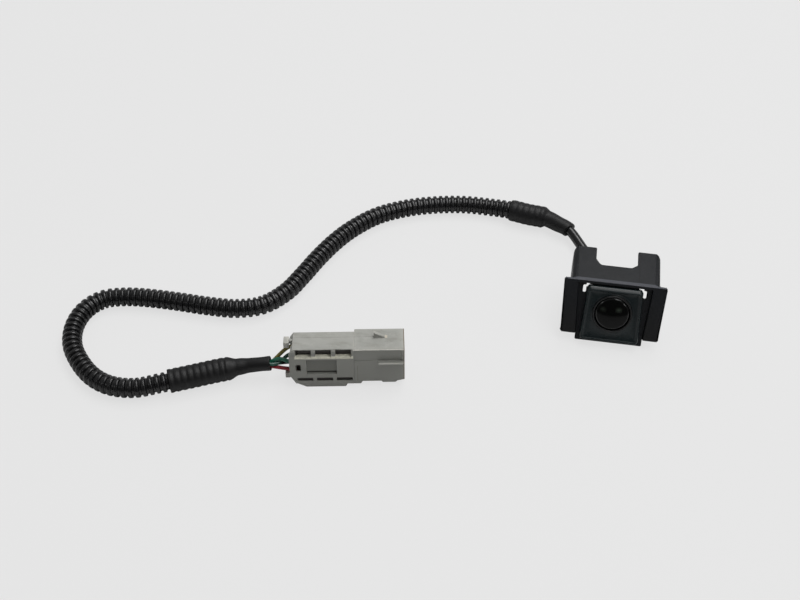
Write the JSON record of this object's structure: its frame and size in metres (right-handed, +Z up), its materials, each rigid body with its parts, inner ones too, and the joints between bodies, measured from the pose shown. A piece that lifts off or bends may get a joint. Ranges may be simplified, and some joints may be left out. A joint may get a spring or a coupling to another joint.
{
  "type": "rear view camera with bracket and lead",
  "caption": "Small square rear view camera in a hooded snap-in bracket, with a corrugated loom lead that ends in a multi-way grey plug.",
  "frame": {"origin": "on the surface that the camera stands on, under the middle of the camera and its bracket", "axes": "+X across the face plate, to the right as the camera is seen from the front; +Y rearward, away from the lens side; +Z up"},
  "size_m": [0.2499, 0.1387, 0.0267],
  "materials": {
    "bracket_plastic": "fine moulded grain, satin",
    "head_plastic": "smooth moulded plastic, satin",
    "case_plastic": "smooth moulded plastic, satin",
    "lens_glass": "polished and coated",
    "filter_glass": "polished",
    "seal_rubber": "matt",
    "jacket": "glossy jacket",
    "loom_plastic": "satin corrugated tube",
    "sleeve_plastic": "heat-shrunk, semi-matt",
    "board": "solder mask",
    "chip": "moulded epoxy",
    "header_plastic": "smooth",
    "screw_steel": "plated",
    "terminal_metal": "tin flashed",
    "plug_plastic": "satin moulded plastic",
    "block_plastic": "dark satin moulded plastic",
    "wire_green": "glossy insulation",
    "wire_red": "glossy insulation",
    "wire_olive": "glossy insulation",
    "wire_black": "glossy insulation"
  },
  "bodies": {
    "root": {"bracket": "bracket_plastic", "camera_front_case": "head_plastic", "camera_rear_case": "case_plastic", "case_gasket": "seal_rubber", "case_screws": "screw_steel", "lens_front_element": "lens_glass", "lens_ring": "head_plastic", "lens_o_ring": "seal_rubber", "lens_barrel": "case_plastic", "lens_middle_element": "lens_glass", "lens_spacer": "case_plastic", "lens_rear_element": "lens_glass", "infrared_filter": "filter_glass", "image_sensor": "chip", "camera_board": "board", "video_chip": "chip", "board_header": "header_plastic", "board_screws": "screw_steel", "cable_grommet": "seal_rubber", "camera_cable": "jacket", "loom_tube": "loom_plastic", "camera_end_sleeve": "sleeve_plastic", "plug_end_sleeve": "sleeve_plastic", "plug_rear_shell": "plug_plastic", "plug_hood": "plug_plastic", "terminal_block": "block_plastic", "terminals": "terminal_metal", "wire_green_a": "wire_green", "wire_green_b": "wire_green", "wire_red": "wire_red", "wire_olive": "wire_olive", "wire_black": "wire_black"},
    "wire_holder": {"wire_holder": "plug_plastic"}
  },
  "joints": [
    {"name": "holder_slide", "type": "slide", "parent": "root", "child": "wire_holder", "axis": [-0.9848, -0.1736, 0], "range_m": [0, 0.0016]}
  ]
}
